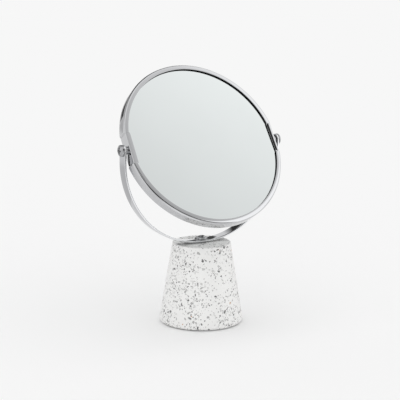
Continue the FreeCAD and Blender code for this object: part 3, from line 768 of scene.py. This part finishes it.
def base_profile():
    """Half section of the cone, from the pad's recess out, up the side and into the insert's bore."""
    run = Vector(BASE_TOP) - Vector(BASE_FOOT)
    lean = math.atan2(-run.x, run.y)
    side = math.degrees(lean)
    foot_centre_y = BASE_FOOT[1] + BASE_FOOT_EDGE
    foot_back = BASE_FOOT_EDGE * math.tan((math.pi / 2 + lean) / 2)
    foot_x = BASE_FOOT[0] - foot_back
    top_back = BASE_TOP_EDGE * math.tan((math.pi / 2 - lean) / 2)
    top_x = BASE_TOP[0] - top_back
    profile = list(PAD_RECESS)
    profile += arc_points((foot_x, foot_centre_y), BASE_FOOT_EDGE, -90, side, FOOT_EDGE_STEPS)
    lower = profile[-1]
    upper = arc_points((top_x, BASE_TOP[1] - BASE_TOP_EDGE), BASE_TOP_EDGE, side, 90, TOP_EDGE_STEPS)
    for k in range(1, SIDE_STEPS):
        profile.append((lower[0] + (upper[0][0] - lower[0]) * k / SIDE_STEPS,
                        lower[1] + (upper[0][1] - lower[1]) * k / SIDE_STEPS))
    profile += upper
    return profile + INSERT_BORE


def make_base():
    """The terrazzo cone."""
    points, faces = lathe(base_profile(), on_table, BASE_SEGMENTS)
    return add_piece("cast_cone", points, faces, STONE, "stand", ["base_cone"],
                     BASE_SHARP)


# ---------------------------------------------------------------- nodes kept as they are

NODE_SHARP = 30


def dress_node(name, material):
    """Give a CAD node its material, with its round faces shaded smooth."""
    mesh = NODES[name].data
    mesh.materials.clear()
    mesh.materials.append(material)
    shade_smooth(mesh, NODE_SHARP)


def dress_nodes():
    """Materials for the small and hidden pieces, whose own meshes are kept."""
    dress_node("base_pad", FOAM)
    dress_node("base_insert", BRASS)
    dress_node("yoke_seat_washer", NYLON)
    dress_node("yoke_washer", PAINTED_SHADE_CHROME)
    dress_node("glass_spacer", RING_PLASTIC)
    for side in ("left", "right"):
        dress_node(f"outer_washer_{side}", NYLON)
        dress_node(f"inner_washer_{side}", NYLON)
        dress_node(f"pivot_collar_{side}", PAINTED_SHADE_CHROME)
        dress_node(f"nut_plate_{side}", DULL_STEEL)


# ---------------------------------------------------------------- studio

FLOOR_TONE = (0.93, 0.93, 0.93, 1)
FLOOR_HALF = 12.0
STUDIO = Vector((0, 0, 0.15))
CARD_DISTANCE = 30.0
CARD_COLUMNS = 24
CARD_ROWS = 16
CAMERA_PLACE = Vector((-0.5996, -0.9453, 0.3367))
CAMERA_HEADING = 0.5635
CAMERA_DROP = 0.1846
CAMERA_ROLL = 0.0084
CAMERA_LENS = 99.56


def make_floor():
    """A wide pale matt floor."""
    corners = [(-FLOOR_HALF, -FLOOR_HALF, 0), (FLOOR_HALF, -FLOOR_HALF, 0),
               (FLOOR_HALF, FLOOR_HALF, 0), (-FLOOR_HALF, FLOOR_HALF, 0)]
    mesh = new_mesh("floor", corners, [(0, 1, 2, 3)])
    floor = new_object("floor", mesh)
    material, _, shader = start_material("floor_paper")
    shader.inputs["Base Color"].default_value = FLOOR_TONE
    shader.inputs["Roughness"].default_value = 1.0
    shader.inputs["Specular IOR Level"].default_value = 0.0
    mesh.materials.append(material)


def card_material(name, level, across, up, soft):
    """A soft-edged card that glows at level, more by across at its far side and by up at its top."""
    material = bpy.data.materials.new(name)
    material.use_nodes = True
    tree = material.node_tree
    tree.nodes.clear()
    graph = Graph(tree)
    split = graph.add("ShaderNodeSeparateXYZ", Vector=graph.add("ShaderNodeTexCoord").outputs["UV"])
    u, v = split.outputs["X"], split.outputs["Y"]
    slope = graph.math("ADD", graph.math("MULTIPLY", u, across), graph.math("MULTIPLY", v, up))
    glow = graph.add("ShaderNodeEmission", Strength=graph.math("ADD", slope, level))
    clear = graph.add("ShaderNodeBsdfTransparent")
    masks = []
    for place in (u, v):
        near = graph.math("SUBTRACT", 0.5, graph.math("ABSOLUTE", graph.math("SUBTRACT", place, 0.5)))
        masks.append(graph.ramp(near, 0.0, soft))
    mix = graph.add("ShaderNodeMixShader")
    graph.feed(mix.inputs[0], graph.math("MULTIPLY", masks[0], masks[1]))
    graph.feed(mix.inputs[1], clear.outputs[0])
    graph.feed(mix.inputs[2], glow.outputs[0])
    out = graph.add("ShaderNodeOutputMaterial")
    graph.feed(out.inputs["Surface"], mix.outputs[0])
    return material


def make_card(name, azimuths, elevations, level, across=0.0, up=0.0, soft=0.08, distance=CARD_DISTANCE):
    """A curved card round the object that only polished surfaces see. Azimuth 0 is -Y and 90 is +X."""
    points, corners = [], []
    for i in range(CARD_ROWS + 1):
        for j in range(CARD_COLUMNS + 1):
            u, v = j / CARD_COLUMNS, i / CARD_ROWS
            azimuth = math.radians(azimuths[0] + (azimuths[1] - azimuths[0]) * u)
            elevation = math.radians(elevations[0] + (elevations[1] - elevations[0]) * v)
            direction = Vector((math.sin(azimuth) * math.cos(elevation),
                                -math.cos(azimuth) * math.cos(elevation), math.sin(elevation)))
            points.append(STUDIO + direction * distance)
            corners.append((u, v))
    mesh = new_mesh(name, points, grid_faces(CARD_ROWS + 1, CARD_COLUMNS + 1))
    layer = mesh.uv_layers.new(name="card")
    for loop in mesh.loops:
        layer.data[loop.index].uv = corners[loop.vertex_index]
    mesh.materials.append(card_material(name, level, across, up, soft))
    card = new_object(name, mesh)
    card.visible_camera = False
    card.visible_diffuse = False
    card.visible_shadow = False
    card.visible_transmission = False


def make_world():
    """An even pale room: it lights the object, and the camera and polished surfaces see it pale."""
    world = bpy.data.worlds.new("room")
    bpy.context.scene.world = world
    world.use_nodes = True
    graph = Graph(world.node_tree)
    back = world.node_tree.nodes["Background"]
    path = graph.add("ShaderNodeLightPath")
    seen = graph.math("MAXIMUM", path.outputs["Is Camera Ray"], path.outputs["Is Glossy Ray"])
    seen = graph.math("MAXIMUM", seen, path.outputs["Is Transmission Ray"])
    graph.feed(back.inputs["Color"], graph.blend(seen, (1, 1, 1, 1), FLOOR_TONE))
    back.inputs["Strength"].default_value = 1.0


def make_camera():
    """The camera. Heading, drop and roll are in radians."""
    look = Vector((math.sin(CAMERA_HEADING) * math.cos(CAMERA_DROP),
                   math.cos(CAMERA_HEADING) * math.cos(CAMERA_DROP), -math.sin(CAMERA_DROP)))
    right = Vector((math.cos(CAMERA_HEADING), -math.sin(CAMERA_HEADING), 0))
    up = right.cross(look)
    rolled_right = right * math.cos(CAMERA_ROLL) + up * math.sin(CAMERA_ROLL)
    rolled_up = up * math.cos(CAMERA_ROLL) - right * math.sin(CAMERA_ROLL)
    pose = Matrix((rolled_right, rolled_up, -look)).transposed().to_4x4()
    pose.translation = CAMERA_PLACE
    data = bpy.data.cameras.new("camera")
    data.lens = CAMERA_LENS
    data.sensor_width = 36
    data.clip_start = 0.05
    data.clip_end = 100
    camera = new_object("camera", data)
    camera.matrix_world = pose
    bpy.context.scene.camera = camera


def make_studio():
    """The room, the floor, the cards that polished surfaces see, and the camera."""
    make_world()
    make_floor()
    make_card("dark_front", (-8, 37), (16, 39), 0.09, soft=0.06, distance=29.5)
    make_card("dark_middle", (-28, -4), (6, 35), 0.09, soft=0.04, distance=29.4)
    make_card("dark_left", (-44, -23), (2, 28), 0.06, soft=0.04, distance=29.3)
    make_card("dark_high", (8, 37), (45.5, 52), 0.05, soft=0.06, distance=29.5)
    make_card("dark_low", (-14, 34), (-11, -2), 0.28, soft=0.04, distance=0.7)
    make_card("grey_front", (-48, 37), (-2, 52), 0.6)
    make_card("floor_glow", (-62, -12), (-58, -16), 1.2, soft=0.1, distance=0.165)
    make_card("grey_low", (-54, -32), (-14, 5), 0.3, soft=0.1, distance=0.7)
    make_card("floor_left", (-178, -118), (-34, 0), 0.72, soft=0.2, distance=0.3)
    make_card("left_light", (-140, -44), (0, 50), 1.08)
    make_card("left_low", (-84, -54), (-16, 2), 1.1, distance=0.68)
    make_card("right_low", (34, 62), (-18, 3), 1.5, soft=0.05, distance=0.45)
    make_card("window", (34, 66), (26, 56), 0.43, across=0.60, up=0.20, soft=0.04, distance=29)
    make_card("front_light", (36, 57), (3, 39.5), 1.5, soft=0.05, distance=28.5)
    make_card("side_light", (53, 70), (2, 58), 1.55, soft=0.35, distance=28)
    make_card("side_light_far", (68, 128), (2, 58), 1.1, soft=0.025, distance=28.2)
    make_card("dark_doorway", (161, 186), (1, 44), 0.05, soft=0.1)
    make_card("doorway_side", (157, 164), (1, 50), 0.93, across=-0.88, soft=0.02, distance=25)
    make_card("dark_behind", (137, 152), (6, 25), 0.08, distance=28)
    make_card("grey_side", (184, 226), (-1, 50), 0.6, distance=29.5)
    make_card("dark_back_low", (158, 186), (-9, 2), 0.08, distance=0.9)
    make_card("dark_upper", (130, 215), (42, 82), 0.10, distance=26)
    make_card("dark_upper_right", (108, 134), (47, 80), 0.10, distance=26)
    make_card("grey_upper", (205, 300), (48, 86), 0.45, distance=26.5)
    make_card("top_light", (-70, 140), (54, 89), 1.08, soft=0.03, distance=27)
    make_camera()
    bpy.context.scene.view_settings.view_transform = "Standard"


make_rim()
make_plain_glass()
make_magnifying_glass()
make_yoke()
make_screws()
make_base()
dress_nodes()
make_studio()
